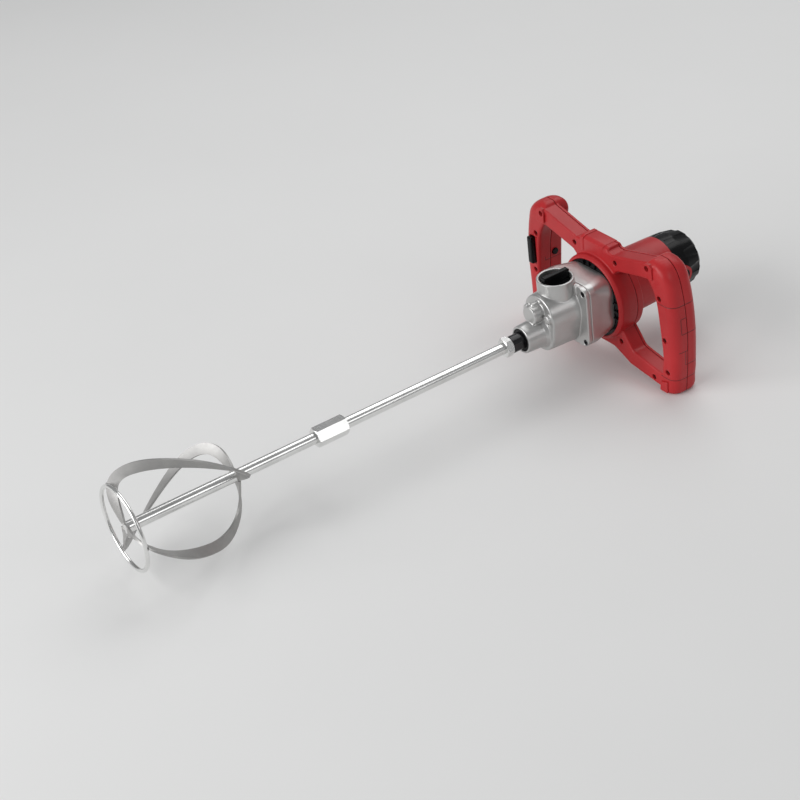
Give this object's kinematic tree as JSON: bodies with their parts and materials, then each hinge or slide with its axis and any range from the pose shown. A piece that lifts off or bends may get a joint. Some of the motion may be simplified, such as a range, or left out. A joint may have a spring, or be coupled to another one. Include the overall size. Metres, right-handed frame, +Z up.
{
  "type": "mixing drill",
  "caption": "Two-handed electric paddle mixer with a D-grip frame, geared housing with speed selector, motor tube, and a long rod with a helical ribbon stirrer.",
  "frame": {"origin": "on the floor under the middle of the whole tool's box, at the height of the grips' feet", "axes": "+Y along the spindle from the stirrer to the motor, +X to the grip that has no trigger, +Z up"},
  "size_m": [0.2932, 0.8232, 0.1786],
  "materials": {
    "red_plastic": "satin moulded plastic, mid red",
    "black_plastic": "semi-gloss moulded plastic, black",
    "cast_aluminium": "satin silver casting",
    "polished_steel": "polished bare steel",
    "black_steel": "black oxide, semi-gloss",
    "ribbon_steel": "grey bare steel strip",
    "machined_steel": "machined and ground steel",
    "spring_steel": "drawn spring wire",
    "laminated_steel": "stacked electrical sheet",
    "copper": "enamelled copper wire and copper bars",
    "brass": "drawn brass tube",
    "carbon": "pressed carbon",
    "black_rubber": "matt black rubber",
    "dark_screw": "black zinc screw"
  },
  "bodies": {
    "tool_body": {"spindle_front_bearing": "machined_steel", "spindle_rear_bearing": "machined_steel", "spindle_circlip": "spring_steel", "spindle_seal": "black_rubber", "layshaft_front_bearing": "machined_steel", "layshaft_rear_bearing": "machined_steel", "gear_housing_front": "cast_aluminium", "gear_housing_rear": "cast_aluminium", "bearing_plate": "cast_aluminium", "housing_screws": "dark_screw", "air_baffle": "black_plastic", "motor_housing": "red_plastic", "motor_screws": "dark_screw", "armature_front_bearing": "machined_steel", "armature_rear_bearing": "machined_steel", "stator_core": "laminated_steel", "field_coils": "copper", "brush_holders": "brass", "carbon_brushes": "carbon", "brush_springs": "spring_steel", "brush_caps": "black_plastic", "end_cap": "black_plastic", "cap_screws": "dark_screw", "handle_front_shell": "red_plastic", "handle_rear_shell": "red_plastic", "grip_rear_cover_left": "red_plastic", "grip_rear_cover_right": "red_plastic", "handle_screws": "dark_screw", "trigger_spring": "spring_steel", "switch_body": "black_plastic", "cord_bush": "black_rubber"},
    "spindle": {"output_spindle": "black_steel", "spindle_low_gear": "machined_steel", "spindle_high_gear": "machined_steel", "stirrer_upper_rod": "polished_steel", "stirrer_lower_rod": "polished_steel", "stirrer_coupling_nut": "polished_steel", "stirrer_lock_nut": "polished_steel", "stirrer_ring": "polished_steel", "stirrer_blade_1": "ribbon_steel", "stirrer_blade_2": "ribbon_steel", "stirrer_blade_3": "ribbon_steel"},
    "layshaft": {"layshaft": "machined_steel", "layshaft_gear": "machined_steel"},
    "shift_block": {"shift_pinions": "machined_steel"},
    "armature": {"armature_shaft": "machined_steel", "armature_core": "laminated_steel", "armature_windings": "copper", "commutator": "copper", "cooling_fan": "black_plastic"},
    "selector": {"selector_knob": "black_plastic"},
    "trigger": {"trigger": "black_plastic"},
    "lock_button": {"lock_button": "black_plastic"}
  },
  "joints": [
    {"name": "spindle_spin", "type": "hinge", "parent": "tool_body", "child": "spindle", "pos_m": [0, 0.14858, 0.076], "axis": [0, 1, 0], "continuous": true},
    {"name": "layshaft_spin", "type": "hinge", "parent": "tool_body", "child": "layshaft", "pos_m": [0, 0.20858, 0.104], "axis": [0, 1, 0], "continuous": true},
    {"name": "armature_spin", "type": "hinge", "parent": "tool_body", "child": "armature", "pos_m": [0, 0.32858, 0.089], "axis": [0, 1, 0], "continuous": true},
    {"name": "selector_turn", "type": "hinge", "parent": "tool_body", "child": "selector", "pos_m": [0, 0.20598, 0.131], "axis": [0, 0, 1], "range_deg": [0, 180]},
    {"name": "shift_slide", "type": "slide", "parent": "layshaft", "child": "shift_block", "axis": [0, -1, 0], "range_m": [0, 0.008]},
    {"name": "trigger_pull", "type": "slide", "parent": "tool_body", "child": "trigger", "axis": [0, 1, 0], "range_m": [0, 0.006], "stiffness_N_per_m": 900, "springref_m": -0.006, "deforming": ["trigger_spring"]},
    {"name": "lock_button_push", "type": "slide", "parent": "tool_body", "child": "lock_button", "axis": [-1, 0, 0], "range_m": [0, 0.0025], "stiffness_N_per_m": 800, "springref_m": -0.002}
  ],
  "couplings": [
    {"joint": "layshaft_spin", "follows": "spindle_spin", "ratio": -3},
    {"joint": "armature_spin", "follows": "spindle_spin", "ratio": 17},
    {"joint": "selector_turn", "follows": "shift_slide", "rad_per_m": 392.7}
  ]
}
